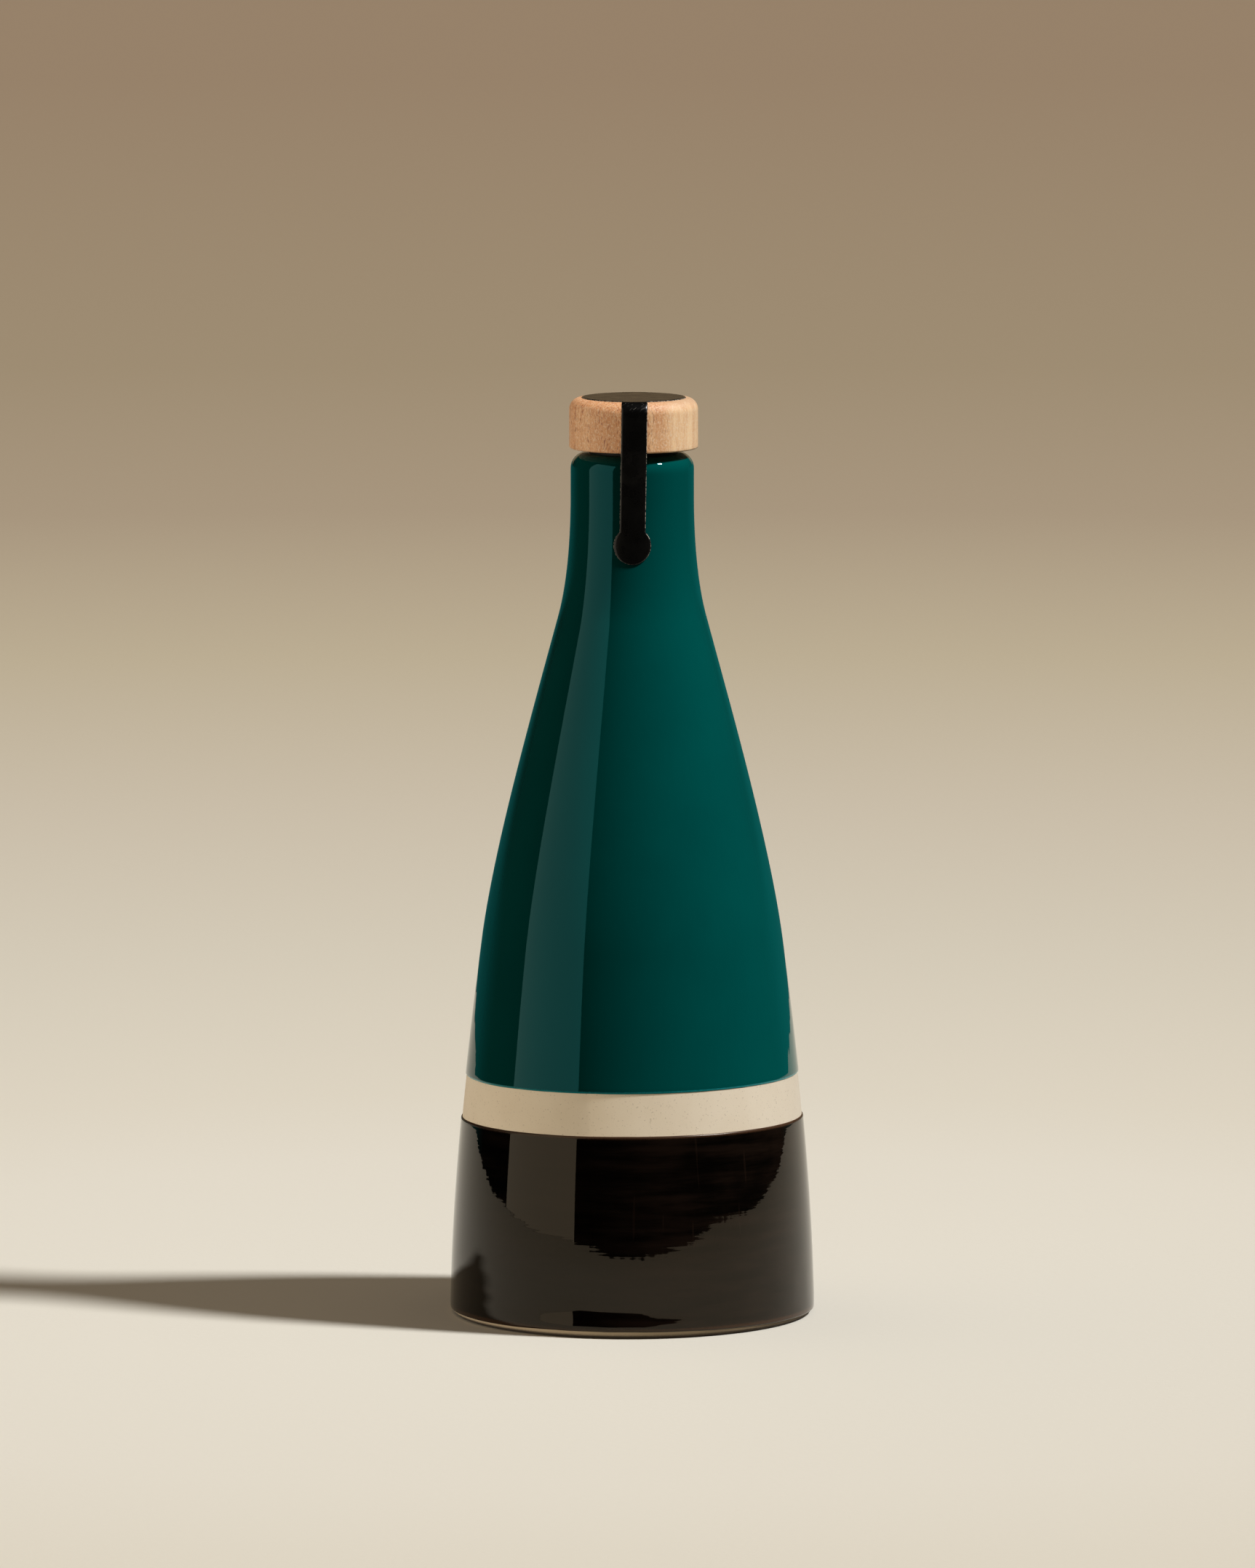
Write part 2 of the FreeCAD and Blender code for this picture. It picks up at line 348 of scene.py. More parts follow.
place.fill(clay_shader, {
    "Base Color": (contact_shade * 0.92).colour(wiped, PAINTED_CONTACT_SHADE),
    "Roughness": 0.72 + grains * 0.16,
    "Normal": clay_bump,
})
clay_body.data.materials.append(clay_finish)
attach(clay_body, "root")
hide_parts("bottle")


# Teal glaze: glossy coloured glass, fired on over the pot from the lip down to the belt.
# The pot was dipped by hand, so its lower edge is slightly tilted and wavy, and it thins out there.
GLAZE_SINK = 0.1              # how far the coat's inner side reaches into the clay at its edges
EDGE_WIDTH = 0.55             # how far from its edge the coat is rounded
EDGE_STEPS = 6
COAT_STEP = 0.8               # from row to row down the coat's outer side
INNER_STEP = 4                # and up its inner side
TEAL_EDGE = 59.2              # height of the coat's lower edge
TEAL_TILT = (0.5, -0.5)       # degrees of rise towards +X and towards +Y
TEAL_START = 9.0              # radius on top of the lip, under the stopper's collar
EDGE_WAVE = 0.16              # how far the dipped edge strays from its plane
EDGE_WAVES = ((15.0, 0.0, 1.0), (3.1, 5.0, 0.4))      # a wave's length, its seed and its share


def dipped_edge(height, tilt, seed):
    """Heights round the pot at which a hand-dipped glaze ends."""
    radius = float(np.interp(along_at(height), wall_along, wall[:, 0]))
    x, y = radius * np.cos(turn_angles), radius * np.sin(turn_angles)
    level = height + x * math.tan(math.radians(tilt[0])) + y * math.tan(math.radians(tilt[1]))
    for length, shift, share in EDGE_WAVES:
        wave = hand_wave(np.full((1, TURN_STEPS), radius), height, length, seed + shift)[0]
        level = level + share * EDGE_WAVE * (wave - 0.5)
    return level


def glaze_coat(name, start, end, dips=lambda radius, height: 0.0):
    """A closed coat between two edges, given for each step of the turn as distances along the wall.

    Its outer side follows the wall and is rounded towards the edges. Its inner side lies about as deep as
    the clay's surface, or deeper.
    """
    lead = EDGE_WIDTH * (1 - np.cos(np.linspace(0, math.pi / 2, EDGE_STEPS + 1)))
    thin = (GLAZE + GLAZE_SINK) * (1 - np.sqrt(1 - (1 - lead / EDGE_WIDTH) ** 2))
    length = float((end - start).mean())
    share = np.linspace(0, 1, int(length / COAT_STEP))[1:-1, None]
    first, last = start + EDGE_WIDTH, end - EDGE_WIDTH
    along = np.concatenate([start + lead[:, None], first + share * (last - first), end - lead[::-1, None]])
    depth = np.concatenate([thin, np.zeros(len(share)), thin[::-1]])[:, None]
    radius, height = on_wall(along, depth)
    radius = radius - HAND_WAVE * hand_wave(radius, height) - dips(radius, height)
    share = np.linspace(1, 0, int(length / INNER_STEP) + 3)[1:-1, None]
    bedded = GLAZE + GLAZE_SINK + CLAY_RELIEF * np.sin(math.pi * share)
    inner_r, inner_z = on_wall(start + share * (end - start), bedded)
    return turned_piece(name, np.concatenate([radius, inner_r]), np.concatenate([height, inner_z]),
                        hollow=True)


def above_edge(place, height, tilt):
    """Millimetres above a tilted glaze edge."""
    slopes = [math.tan(math.radians(degrees)) for degrees in tilt]
    return place.axis("Z") - height - place.axis("X") * slopes[0] - place.axis("Y") * slopes[1]


teal_coat = glaze_coat("teal_coat", np.full(TURN_STEPS, TEAL_START),
                       along_at(dipped_edge(TEAL_EDGE, TEAL_TILT, 3.3)))

TEAL = (0.0, 0.0890, 0.0755)
TEAL_DEEP = (0.0, 0.0770, 0.0660)
TEAL_THIN = (0.0060, 0.4200, 0.4200)
TEAL_MIRROR = (0.12, 0.78, 0.97)      # tints what it mirrors
teal_finish, teal_shader, place = new_finish("teal_glaze")
clouds = place.speckle(0.045, 3.0).rising(0.30, 0.72)
runs = place.stretched(1.0, 1.0, 0.035).speckle(1.1, 2.0)
grains = place.speckle(2.2, 2.0)
rise = above_edge(place, TEAL_EDGE, TEAL_TILT)
thin = 1 - (rise + grains * 0.3).rising(0.32, 0.78)
body_colour = (clouds * 0.55 + runs * 0.45).colour(TEAL, TEAL_DEEP)
place.fill(teal_shader, {
    "Base Color": (thin * 0.90).colour(body_colour, TEAL_THIN),
    "Roughness": 0.012 + grains * 0.02 + thin * 0.2,
    "IOR": 1.5,
    "Specular Tint": (*TEAL_MIRROR, 1.0),
    "Normal": (place.speckle(0.9, 1.0) * 0.0006 + runs * 0.0004).bump(),
})
teal_coat.data.materials.append(teal_finish)
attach(teal_coat, "root")
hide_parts("bottle")


# Black glaze: a glossy brown-black glaze on the lower part, from the belt down to the wiped foot.
# It breaks brown where it is thin. Just above the foot it has crept into soft rolls, with hollows between.
BLACK_TOP = 48.8              # heights of the coat's upper and lower edges
BLACK_END = 1.7
BLACK_TILT = (0.4, -0.7)
# Each hollow's foot, deepest height and top, its depth, and the angle round +Z where it lies and its spread.
HOLLOWS = ((2.6, 6.9, 13.5, 0.34, -102, 32), (7.0, 9.9, 17.0, 0.25, -109, 9))
RIPPLE = 0.07                 # slight ripples all round, from the foot up to where they fade
RIPPLE_LENGTH = 9.0
RIPPLE_SQUEEZE = 2.5          # the ripples lie flat, so they are this much shorter upward
RIPPLE_TOP, RIPPLE_FADE = 16.0, 6.0
FOOT_RUN = 0.36               # how much lower the glaze has run at the two sides
FOOT_WAVE = 0.3               # how wavy that edge is


def foot_dips(radius, height):
    """Hollows between the rolls of glaze above the foot, and the ripples there."""
    patchy = np.clip(hand_wave(radius, height * 0.2, 14.0, 9.4) - 0.5, 0, 1)
    dips = 0.0
    for low, middle, high, depth, deepest, spread in HOLLOWS:
        away = (np.degrees(turn_angles) - deepest + 180) % 360 - 180
        hollow = np.interp(height, (low, middle, high), (0, 1, 0))
        dips = dips + depth * hollow * np.clip(np.exp(-(away / spread) ** 2) + patchy, 0, 1)
    ripples = RIPPLE * hand_wave(radius, height * RIPPLE_SQUEEZE, RIPPLE_LENGTH, 51.0)
    return dips + ripples * np.clip((RIPPLE_TOP - height) / RIPPLE_FADE, 0, 1)


black_start = along_at(dipped_edge(BLACK_TOP, BLACK_TILT, 12.7))
foot_wave = hand_wave(np.full((1, TURN_STEPS), BASE_RADIUS), 0.0, 9.0, 21.0)[0]
foot_edge = BLACK_END - FOOT_RUN * (1 + np.cos(2 * turn_angles)) + FOOT_WAVE * (foot_wave - 0.5)
black_coat = glaze_coat("black_coat", black_start, along_at(foot_edge), foot_dips)

BLACK = (0.0014, 0.0010, 0.0006)
BLACK_BROWN = (0.0125, 0.0068, 0.0042)
BROWN_THIN = (0.0750, 0.0330, 0.0150)
BLACK_MIRROR = (1.0, 0.88, 0.72)
black_finish, black_shader, place = new_finish("black_glaze")
bands = place.stretched(0.10, 0.10, 1.0).speckle(0.42, 4.0, 0.6)
clouds = place.speckle(0.07, 3.0)
grains = place.speckle(2.6, 2.0)
lines = place.stretched(1.0, 1.0, 0.02).speckle(0.62, 1.0).rising(0.715, 0.735)
rise = above_edge(place, BLACK_TOP, BLACK_TILT)
upper_thin = (rise + grains * 0.3).rising(-0.75, -0.2)
foot_thin = 1 - (place.axis("Z") - grains * 0.5).rising(1.9, 2.5)
brown = (bands * 0.75 + clouds * 0.5).rising(0.45, 0.85)
body_colour = (brown + lines * 0.5).colour(BLACK, BLACK_BROWN)
ripple = place.stretched(0.055, 0.055, 1.0).speckle(0.55, 2.0)
place.fill(black_shader, {
    "Base Color": (upper_thin * 0.8 + foot_thin * 0.7).colour(body_colour, BROWN_THIN),
    "Roughness": 0.010 + bands * 0.02 + upper_thin * 0.3,
    "IOR": 1.42,
    "Specular Tint": (*BLACK_MIRROR, 1.0),
    "Normal": (ripple * 0.006 + place.speckle(0.9, 1.0) * 0.0006).bump(),
})
black_coat.data.materials.append(black_finish)
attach(black_coat, "root")
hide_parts("bottle")


# Stopper collar: the top of the plug, seen only as a dark band between the lip and the head.
# It is moulded in soft matt plastic, with faint rings where it was pressed in and turned.
STOPPER = (0.030, 0.026, 0.022)
STOPPER_WORN = (0.070, 0.060, 0.050)
stopper_finish, stopper_shader, place = new_finish("stopper_plastic")
rings = place.stretched(0.15, 0.15, 3.0).speckle(1.8, 3.0)
place.fill(stopper_shader, {
    "Base Color": rings.rising(0.45, 0.75).colour(STOPPER, STOPPER_WORN),
    "Roughness": 0.48 + rings * 0.18,
    "Normal": (rings * 0.02).bump(),
})
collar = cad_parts["stopper_collar"]
collar.data.materials.clear()
collar.data.materials.append(stopper_finish)


# Head: turned from one piece of beech with the grain upright, sanded and left nearly dry.
# Its upper edge is well rounded, and the lower one is only broken, so a few fibres stand rough there.
HEAD_LOW, HEAD_HIGH = (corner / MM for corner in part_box("cap"))
HEAD_CENTRE = (HEAD_LOW.x + HEAD_HIGH.x) / 2
HEAD_RADIUS = (HEAD_HIGH.x - HEAD_LOW.x) / 2
HEAD_ROUNDING = 2.8
HEAD_LOWER_ROUNDING = 0.5
HEAD_DIP = 0.05               # how far the sanding left the side out of true
ROUGH_DIP = 0.14              # how deep the fibres are torn at the lower edge
ROUGH_BAND = 0.45             # how high above that edge they are torn
SIDE_ROWS = 16
head_outline = joined([
    [(3.0, HEAD_HIGH.z), (8.0, HEAD_HIGH.z), (HEAD_RADIUS - HEAD_ROUNDING, HEAD_HIGH.z)],
    bend((HEAD_RADIUS - HEAD_ROUNDING, HEAD_HIGH.z - HEAD_ROUNDING), HEAD_ROUNDING, 90, 0, 15),
    np.linspace((HEAD_RADIUS, HEAD_HIGH.z - HEAD_ROUNDING), (HEAD_RADIUS, HEAD_LOW.z + HEAD_LOWER_ROUNDING),
                SIDE_ROWS),
    bend((HEAD_RADIUS - HEAD_LOWER_ROUNDING, HEAD_LOW.z + HEAD_LOWER_ROUNDING), HEAD_LOWER_ROUNDING,
         0, -90, 7),
    [(HEAD_RADIUS - HEAD_LOWER_ROUNDING, HEAD_LOW.z), (12.0, HEAD_LOW.z), (5.0, HEAD_LOW.z)],
])
head_r = np.repeat(head_outline[:, :1], TURN_STEPS, 1)
head_z = np.repeat(head_outline[:, 1:], TURN_STEPS, 1)
on_side = np.clip((head_r - HEAD_RADIUS + 2.2) / 1.5, 0, 1)
near_bottom = np.exp(-((head_z - HEAD_LOW.z) / ROUGH_BAND) ** 2)
torn_fibres = np.clip(hand_wave(head_r, head_z * 0.2, 0.9, 37.0) - 0.45, 0, 1)
head_dips = HEAD_DIP * hand_wave(head_r, head_z * 0.3, 7.0, 31.0) + ROUGH_DIP * near_bottom * torn_fibres
head = turned_piece("head", head_r - on_side * head_dips, head_z, HEAD_CENTRE)

BEECH = (0.700, 0.325, 0.128)
BEECH_PALE = (1.000, 0.680, 0.370)
BEECH_RED = (0.620, 0.220, 0.070)
BEECH_PORE = (0.300, 0.060, 0.012)
BEECH_DUST = (0.990, 0.800, 0.560)
BEECH_TOP_SHADE = (0.560, 0.390, 0.240)
# Rings, fibres and pores run with the grain. As painted shade on the side away from the key lamp, the left
# half is made redder and darker, with more streaks and pores.
# Sanding left pale dust in the fibres. As painted shade against the key lamp, the rounded upper edge and the
# top are made darker and duller.
beech_finish, beech_shader, place = new_finish("beech")
years = place.stretched(0.42, 0.30, 0.012).speckle(1.0, 3.0, 0.55)
fibres = place.stretched(1.0, 1.0, 0.11).speckle(2.2, 5.0, 0.70)
clouds = place.stretched(1.0, 1.0, 0.3).speckle(0.2, 2.0)
porous = place.stretched(1.0, 1.0, 0.25).speckle(0.35, 1.0).rising(0.35, 0.65)
pores = place.stretched(1.0, 1.0, 0.22).speckle(3.3, 1.0).rising(0.56, 0.66) * (0.3 + porous * 0.7)
# Painted shade: 1 over the left of the head, fading out towards the right.
shaded_left = 1 - (place.axis("X") + clouds * 4.0).rising(4.0, 15.0)
# Painted shade: 1 over the top and its rounding, which the key lamp lights most.
top_shade = place.axis("Z").rising(HEAD_HIGH.z - HEAD_ROUNDING, HEAD_HIGH.z)
flecks = place.stretched(1.0, 0.6, 0.45).speckle(1.1, 3.0, 0.7).rising(0.52, 0.70)
grit = place.stretched(1.0, 1.0, 0.7).speckle(2.6, 4.0, 0.85)
ground = (years.rising(0.34, 0.66) * 0.45 + shaded_left * 0.56 + top_shade * 0.60).colour(BEECH_PALE, BEECH)
streaks = (fibres.rising(0.42, 0.64) * 0.45 + flecks * 0.25) * (shaded_left * 0.5 + 0.5)
streaked = streaks.colour(ground, BEECH_RED)
sanded = (grit.rising(0.48, 0.60) * 0.50).colour(streaked, BEECH_DUST)
top_shaded = (top_shade * (1 - shaded_left * 0.8) * 0.60).colour(sanded, BEECH_TOP_SHADE)
place.fill(beech_shader, {
    "Base Color": (pores * (shaded_left * 0.70 + 0.08)).colour(top_shaded, BEECH_PORE),
    "Roughness": 0.46 + fibres * 0.20,
    "Normal": (fibres * 0.035 + grit * 0.060 - pores * 0.008).bump(),
})
head.data.materials.append(beech_finish)
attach(head, "root")
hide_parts("cap")


# Seal: black plastic film, die-cut in one piece, with a disc on the head and an arm down the front and back.
# Each arm runs free from the head to the neck and ends in a round tab that is stuck on the glaze.
# The film was bent over the head by hand, so it is scuffed at the bend, and its cut edge shows pale.
FILM = 0.15                   # thickness of the film
FILM_OFFSET = 0.13            # how far outside the neck the film runs, about the head's axis
FILM_LANDING = LIP_HEIGHT - 6.3       # where the free stretch of an arm meets the neck
FILM_BEVEL = 0.11             # width of the cut edge as seen from outside
DISC_RADIUS = HEAD_RADIUS - HEAD_ROUNDING - 0.2
ARM_HALF = 6.33 / 2
ARM_LEAN = math.tan(math.radians(0.9))        # the seal was put on slightly askew
TAB_RADIUS = 4.58
TAB_HEIGHT = LIP_HEIGHT - 21.5
DISC_RINGS = 11
RIM_STEPS = 40                # points of the disc's rim between the two arms, on either side
ARM_COLUMNS = 17              # points across an arm
ARM_ROWS, TAB_ROWS = 95, 29
WRINKLE = 0.05                # how deep its outer face dips


def film_outline(out):
    """One face of the film from the head's middle down past the tab, out from the inner face."""
    side, neck = HEAD_RADIUS + out, NECK_RADIUS + FILM_OFFSET + out
    flare = wall_span((NECK_RADIUS, LIP_HEIGHT - NECK_STRAIGHT), 0, (SHOULDER_RADIUS, SHOULDER_HEIGHT),
                      SHOULDER_SLOPE, FLARE_HANDLE)
    return joined([
        [(0.0, HEAD_HIGH.z + out), (HEAD_RADIUS - HEAD_ROUNDING, HEAD_HIGH.z + out)],
        bend((HEAD_RADIUS - HEAD_ROUNDING, HEAD_HIGH.z - HEAD_ROUNDING), HEAD_ROUNDING + out, 90, 0),
        [(side, HEAD_HIGH.z - HEAD_ROUNDING), (side, HEAD_LOW.z + HEAD_LOWER_ROUNDING),
         (neck, FILM_LANDING), (neck, LIP_HEIGHT - NECK_STRAIGHT)],
        flare + (FILM_OFFSET + out, 0.0),
    ])


film_faces = {"inner": film_outline(0.0), "outer": film_outline(FILM)}
film_along = distances(film_faces["inner"])


def film_at(along, face):
    """Radius and height on one face of the film."""
    return [np.interp(along, film_along, column) for column in film_faces[face].T]


def film_sheet(face, inset):
    """Points of one face of the film: the disc's rings, then the rows of the front and of the back arm."""
    half, tab = ARM_HALF - inset, TAB_RADIUS - inset
    columns = np.linspace(-1, 1, ARM_COLUMNS)
    top = film_faces[face][0, 1]
    spread = np.arcsin((columns * ARM_HALF + ARM_LEAN * (top - TAB_HEIGHT) - HEAD_CENTRE) / DISC_RADIUS)
    front = -math.pi / 2 + spread
    back = math.pi / 2 - spread
    right = np.linspace(front[-1], back[-1], RIM_STEPS + 2)[1:-1]
    left = np.linspace(back[0], front[0] + 2 * math.pi, RIM_STEPS + 2)[1:-1]
    rim = np.concatenate([front, right, back[::-1], left])
    points = [(HEAD_CENTRE, 0.0, top)]
    for radius in np.linspace(0, DISC_RADIUS - inset, DISC_RINGS + 1)[1:]:
        points += [(HEAD_CENTRE + radius * math.cos(a), radius * math.sin(a), top) for a in rim]
    joint = math.asin(math.sqrt(tab ** 2 - half ** 2) / tab)
    arm_end = float(np.interp(-(TAB_HEIGHT + tab * math.sin(joint)), -film_faces[face][:, 1], film_along))
    arm_along = np.linspace(DISC_RADIUS, arm_end, ARM_ROWS + 1)[1:]
    tab_heights = TAB_HEIGHT + tab * np.sin(np.linspace(joint, -math.pi / 2, TAB_ROWS + 1)[1:])
    tab_along = np.interp(-tab_heights, -film_faces[face][:, 1], film_along)
    tab_half = np.sqrt(np.maximum(tab ** 2 - (tab_heights - TAB_HEIGHT) ** 2, 0))
    rows = [(along, half, True) for along in arm_along]
    rows += [(along, reach, False) for along, reach in zip(tab_along, tab_half)]
    for side in (-1, 1):
        for along, reach, leans in rows:
            radius, height = film_at(along, face)
            x = columns * reach + (ARM_LEAN * (height - TAB_HEIGHT) if leans else 0.0)
            if face == "outer":
                pull = np.array([noise.noise(Vector((v * 0.9, side * 7.0, along * 0.35))) for v in x])
                radius = radius - WRINKLE * np.clip(pull * (1 - columns ** 2) + 0.1, 0, 1)
            y = side * np.sqrt(radius ** 2 - (x - HEAD_CENTRE) ** 2)
            points += [(a, b, height) for a, b in zip(x, y)]
    return points


# The sheet's faces: a fan and rings over the disc, and from its rim two strips, front and back.
outer_points = film_sheet("outer", FILM_BEVEL)
inner_points = film_sheet("inner", 0.0)
rim_count = 2 * (ARM_COLUMNS + RIM_STEPS)
arm_rows = ARM_ROWS + TAB_ROWS
ring_start = [1 + ring * rim_count for ring in range(DISC_RINGS)]
sheet = [(0, 1 + i, 1 + (i + 1) % rim_count) for i in range(rim_count)]
for low, high in zip(ring_start, ring_start[1:]):
    sheet += [(low + i, high + i, high + (i + 1) % rim_count, low + (i + 1) % rim_count)
              for i in range(rim_count)]
front_root = [ring_start[-1] + i for i in range(ARM_COLUMNS)]
back_root = [ring_start[-1] + ARM_COLUMNS + RIM_STEPS + ARM_COLUMNS - 1 - i for i in range(ARM_COLUMNS)]
arm_start = 1 + DISC_RINGS * rim_count
for number, root in enumerate((front_root, back_root)):
    row = root
    for step in range(arm_rows):
        first = arm_start + (number * arm_rows + step) * ARM_COLUMNS
        below = list(range(first, first + ARM_COLUMNS))
        sheet += [(row[i], below[i], below[i + 1], row[i + 1]) for i in range(ARM_COLUMNS - 1)]
        row = below

# The other face is the same sheet turned over, and a pale band joins the two along the cut edge.
face_sides = {}
for face in sheet:
    for a, b in zip(face, face[1:] + face[:1]):
        face_sides.setdefault(frozenset((a, b)), []).append((a, b))
cut_edge = [sides[0] for sides in face_sides.values() if len(sides) == 1]
under_side = len(outer_points)
film_mesh_faces = list(sheet)
film_mesh_faces += [tuple(under_side + v for v in reversed(face)) for face in sheet]
film_mesh_faces += [(a, under_side + a, under_side + b, b) for a, b in cut_edge]
film_tints = [0] * (2 * len(sheet)) + [1] * len(cut_edge)
seal = finished_piece("film_seal", np.array(outer_points + inner_points) * MM, film_mesh_faces, film_tints)

FILM_BLACK = (0.0015, 0.0013, 0.0011)
FILM_RUBBED = (0.0090, 0.0080, 0.0065)
FILM_SCUFF = (0.260, 0.240, 0.200)
EDGE_PALE = (0.420, 0.370, 0.280)
film_finish, film_shader, place = new_finish("black_film")
haze = place.speckle(0.35, 3.0)
slanted = place.make("ShaderNodeVectorRotate", {"rotation_type": "EULER_XYZ"},
                     {"Vector": place, "Rotation": (0.0, 0.7, 0.0)})
scratches = slanted.stretched(0.25, 0.4, 2.4).speckle(1.9, 2.0).rising(0.62, 0.70)
crease = place.axis("Z").rising(HEAD_HIGH.z - HEAD_ROUNDING, HEAD_HIGH.z - 0.6)
crease = crease * (1 - place.axis("Z").rising(HEAD_HIGH.z - 0.12, HEAD_HIGH.z))
rubbed = (haze * 0.4).colour(FILM_BLACK, FILM_RUBBED)
place.fill(film_shader, {
    "Base Color": (scratches * crease * 0.5).colour(rubbed, FILM_SCUFF),
    "Roughness": 0.22 + haze * 0.12,
    "IOR": 1.42,
    "Normal": (haze * 0.02 + place.speckle(2.4, 2.0) * 0.004).bump(),
})
edge_finish, edge_shader, place = new_finish("film_edge")
broken = place.speckle(1.9, 2.0).rising(0.46, 0.58)
place.fill(edge_shader, {
    "Base Color": broken.colour(FILM_BLACK, EDGE_PALE),
    "Roughness": 0.55 + broken * 0.1,
})
seal.data.materials.append(film_finish)
seal.data.materials.append(edge_finish)
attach(seal, "root")
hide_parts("seal")


# Floor: a wide sheet of warm off-white paper with torn edges. Its colour is painted darker with distance from
# the bottle, standing in for the light's fall-off and the shade towards the backdrop.
# Half a millimetre lower a ground in the same tones goes on beyond it, as far as the camera sees.
# Only the camera sees that ground, so in the glaze the studio beyond the sheet stays dark.
SHEET_LEFT, SHEET_RIGHT, SHEET_FRONT, SHEET_BACK = -560.0, 620.0, -445.0, 700.0
CUT_FRONT, CUT_LEFT = -345.0, -20.0   # the near left corner is torn off from this X to this Y
SHEET_TEAR = 55.0             # how far the torn edges wander
TEAR_WAVES = ((0.11, 0.0, 0.7), (0.45, 5.0, 0.75))    # a wander's pace along the edge, its seed and its share
FAR = 30000.0                 # how far the ground goes on
GROUND_LEVEL = -0.5
GAP = 8.0                     # width of the strip of painted shade beyond the paper's edge
GAP_LEVEL = -0.1
PAINTED_EDGE_SHADE = (0.008, 0.007, 0.006)
PAPER_FIBRE = (0.45, 0.38, 0.28)
# Metres from the bottle, and the paper's colour there, darkened by painted fall-off of the light.
PAPER_FALLOFF_TONES = ((0.0, (0.741, 0.696, 0.586)), (0.25, (0.715, 0.665, 0.553)), (0.37, (0.680, 0.625, 0.506)),
               (0.66, (0.613, 0.560, 0.445)), (1.0, (0.549, 0.484, 0.371)), (1.43, (0.464, 0.393, 0.269)),
               (1.93, (0.357, 0.281, 0.189)), (2.56, (0.312, 0.242, 0.152)), (4.4, (0.281, 0.201, 0.125)))
TONE_REACH = 5.0              # where the tones end, in metres


def torn_side(start, end, across, count, seed):
    """Points along a straight edge that wander across it, as torn paper does."""
    share = np.linspace(0, 1, count)[:-1]
    wander = np.zeros(len(share))
    for pace, shift, weight in TEAR_WAVES:
        wander += [weight * noise.noise(Vector((s * count * pace, seed, shift))) for s in share]
    start, end = np.array(start), np.array(end)
    return start + share[:, None] * (end - start) + np.outer(wander, across) * SHEET_TEAR


corners = ((CUT_FRONT, SHEET_FRONT), (SHEET_RIGHT, SHEET_FRONT), (SHEET_RIGHT, SHEET_BACK),
           (SHEET_LEFT, SHEET_BACK), (SHEET_LEFT, CUT_LEFT))
# Front, right, back, left, and the torn-off corner: which way each edge wanders, its points and its seed.
edges = (((0, 1), 90, 1.0), ((1, 0), 90, 2.0), ((0, 1), 40, 3.0), ((1, 0), 60, 4.0), ((0.5, 0.2), 44, 5.0))
torn = np.concatenate([torn_side(start, end, *edge)
                       for start, end, edge in zip(corners, corners[1:] + corners[:1], edges)])
count = len(torn)
outward = torn - np.array([(SHEET_LEFT + SHEET_RIGHT) / 2, 0.0])
outward /= np.linalg.norm(outward, axis=1)[:, None]
gap_width = [GAP * (0.75 + 0.5 * noise.noise(Vector((number * 0.6, 8.0, 2.0)))) for number in range(count)]
gap_rim = torn + outward * np.array(gap_width)[:, None]


def flat_object(name, points, faces, level=0.0):
    """A level sheet that belongs to the studio and not to the bottle."""
    mesh = bpy.data.meshes.new(name)
    mesh.from_pydata([(x * MM, y * MM, level * MM) for x, y in points], [], faces)
    flat = bpy.data.objects.new(name, mesh)
    scene.collection.objects.link(flat)
    return flat


def hide_from(thing, *rays):
    """Leaves a thing out of some kinds of light ray."""
    for ray in rays:
        setattr(thing, "visible_" + ray, False)


paper = flat_object("paper", torn, [tuple(range(count))])
hide_from(paper, "diffuse", "shadow")
surround = flat_object("surround", [(-FAR, -FAR), (FAR, -FAR), (FAR, FAR), (-FAR, FAR)], [(0, 1, 2, 3)],
                       GROUND_LEVEL)
hide_from(surround, "diffuse", "glossy", "transmission")
gap_faces = [(i, (i + 1) % count, count + (i + 1) % count, count + i) for i in range(count)]
edge_shade_strip = flat_object("edge_shade_strip", np.concatenate([torn, gap_rim]), gap_faces, GAP_LEVEL)
hide_from(edge_shade_strip, "camera", "diffuse", "shadow")

# Painted shade: a near-black strip along the paper's edge, seen only in the glaze.
edge_shade_finish, edge_shade_shader, place = new_finish("painted_edge_shade")
place.fill(edge_shade_shader, {"Base Color": (*PAINTED_EDGE_SHADE, 1.0), "Specular IOR Level": 0.0})
edge_shade_strip.data.materials.append(edge_shade_finish)

paper_finish, paper_shader, place = new_finish("paper")
metres = place.stretched(MM, MM, 0.0)
reach = metres.make("ShaderNodeVectorMath", {"operation": "LENGTH"}, {0: metres}, output="Value")
falloff_tones = reach.make("ShaderNodeValToRGB", {"stops": [(d / TONE_REACH, tone) for d, tone in PAPER_FALLOFF_TONES]},
                   {"Fac": reach * (1 / TONE_REACH)})
fibre = place.speckle(0.6, 3.0)
place.fill(paper_shader, {
    "Base Color": (fibre * 0.06).colour(falloff_tones, PAPER_FIBRE),
    "Roughness": 0.9,
    "Specular IOR Level": 0.1,
    "Normal": (fibre * 0.05).bump(),
})
for flat in (paper, surround):
    flat.data.materials.append(paper_finish)


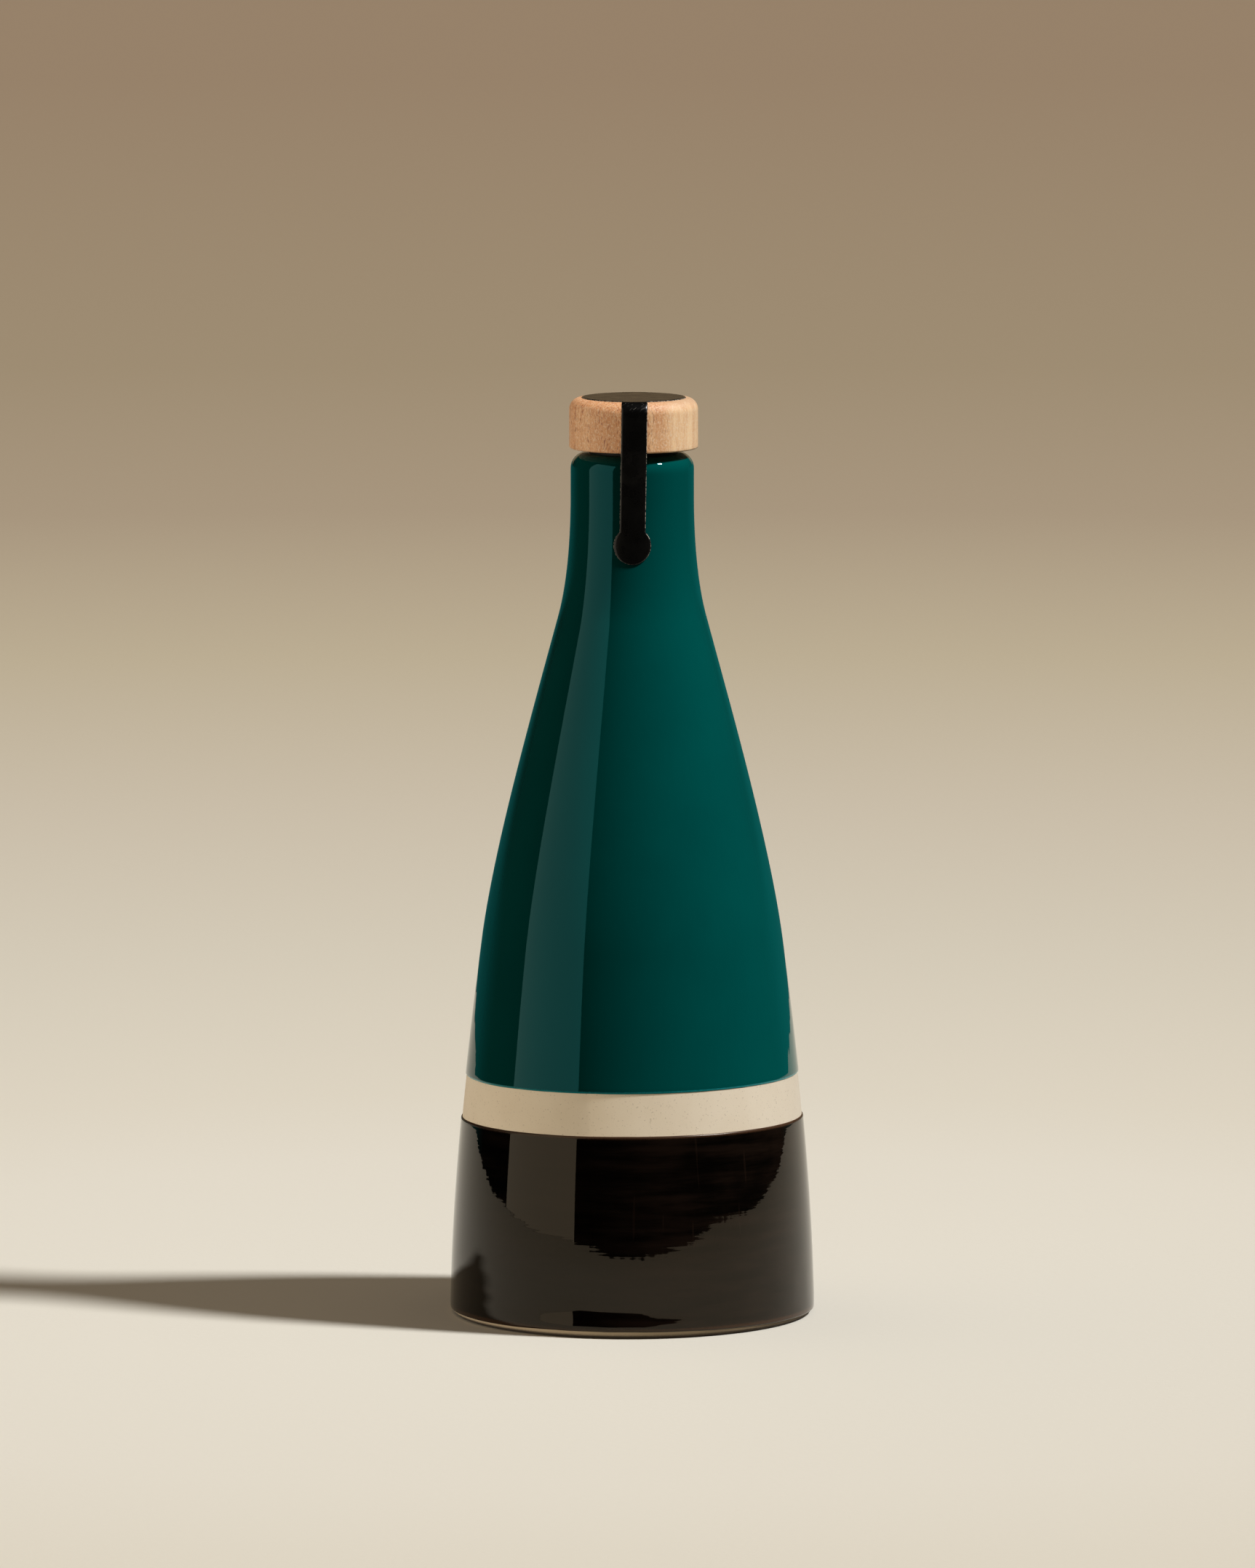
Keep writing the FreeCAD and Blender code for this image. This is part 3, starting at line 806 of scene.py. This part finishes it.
# Reflector: a tall warm white panel beyond the torn-off corner of the paper, which glows by itself.
# It shows only in the glaze, as a pale strip, and a thin strip of painted shade shows between the paper and
# its foot.
PANEL_BACK, PANEL_FRONT = (-690.0, -33.0), (-425.0, -575.0)
PANEL_LOW, PANEL_HIGH = -200.0, 830.0
PANEL_GLOW = (1.00, 0.88, 0.70)
panel_mesh = bpy.data.meshes.new("panel")
panel_mesh.from_pydata([(x * MM, y * MM, z * MM) for z in (PANEL_LOW, PANEL_HIGH)
                        for x, y in (PANEL_BACK, PANEL_FRONT)], [], [(0, 1, 3, 2)])
panel = bpy.data.objects.new("panel", panel_mesh)
scene.collection.objects.link(panel)
hide_from(panel, "camera", "diffuse", "shadow")
panel_finish, panel_shader, place = new_finish("white_panel")
place.fill(panel_shader, {"Base Color": (0.0, 0.0, 0.0, 1.0), "Specular IOR Level": 0.0,
                          "Emission Color": (*PANEL_GLOW, 1.0), "Emission Strength": 1.0})
panel_mesh.materials.append(panel_finish)


# Light: a soft key lamp from the right, high and slightly in front, and a broad warm fill from front left.
# The fill is linked to the bare clay and the wood alone, because the glazes would turn pale under it.
# The room has its own colours for the camera, for matt surfaces and for what the glaze mirrors.
KEY_FROM = (0.609, -0.144, 0.780)
KEY_STRENGTH = 3.6
KEY_COLOUR = (1.0, 1.02, 1.07)
KEY_ANGLE = 7.0               # degrees that the lamp spans
FILL_FROM = (-0.62, -0.68, 0.25)
FILL_STRENGTH = 1.45
FILL_COLOUR = (1.0, 0.90, 0.74)
FILL_ANGLE = 120.0


def sun_lamp(name, source, strength, colour, angle):
    """A lamp far away in one direction."""
    data = bpy.data.lights.new(name, "SUN")
    data.energy = strength
    data.color = colour
    data.angle = math.radians(angle)
    lamp = bpy.data.objects.new(name, data)
    lamp.rotation_mode = "QUATERNION"
    lamp.rotation_quaternion = Vector(source).to_track_quat("Z", "Y")
    scene.collection.objects.link(lamp)
    return lamp


sun_lamp("key", KEY_FROM, KEY_STRENGTH, KEY_COLOUR, KEY_ANGLE)
fill = sun_lamp("fill", FILL_FROM, FILL_STRENGTH, FILL_COLOUR, FILL_ANGLE)
matt_things = bpy.data.collections.new("matt_things")
fill.light_linking.receiver_collection = matt_things
for matt_thing in (clay_body, head):
    matt_things.objects.link(matt_thing)

BACKDROP = (0.300, 0.220, 0.140)      # what the camera sees above the ground
SOFT_LIGHT = (0.040, 0.037, 0.033)    # what matt surfaces get from all round,
SIDE_GLOW = (0.62, 0.56, 0.49)        # from the left and a little behind,
OVERHEAD = (0.265, 0.203, 0.145)      # and from above
ROOM = (0.008, 0.007, 0.006)          # what the glaze mirrors in most directions,
RIM_GLOW = (0.010, 0.110, 0.105)      # low behind, where it outlines the upper glaze,
BEHIND_GLOW = (0.390, 0.270, 0.150)   # and straight behind, just above the horizon
SIDE_TURN = (0.92, 0.40)              # how much of the side glow's direction is to the left, and to the back

room = bpy.data.worlds.new("room")
room.use_nodes = True
scene.world = room
sky = Wire(room.node_tree).make("ShaderNodeTexCoord", output="Generated")
sideways, backward, upward = (sky.axis(letter) for letter in "XYZ")
low_behind = backward.rising(0.45, 0.85) * (1 - upward.rising(-0.02, 0.06))
straight_behind = backward.rising(0.88, 0.96) * upward.rising(0.0, 0.05) * (1 - upward.rising(0.12, 0.35))
mirrored = straight_behind.colour(low_behind.colour(ROOM, RIM_GLOW), BEHIND_GLOW)
beside = backward * SIDE_TURN[1] - sideways * SIDE_TURN[0]
soft = beside.rising(0.25, 0.95).colour(SOFT_LIGHT, SIDE_GLOW)
soft = upward.rising(0.5, 1.0).colour(soft, OVERHEAD)
scattered = sky.make("ShaderNodeLightPath", output="Is Diffuse Ray")
seen = sky.make("ShaderNodeLightPath", output="Is Camera Ray")
sky.fill(room.node_tree.nodes["Background"],
         {"Color": seen.colour(scattered.colour(mirrored, soft), BACKDROP), "Strength": 1.0})
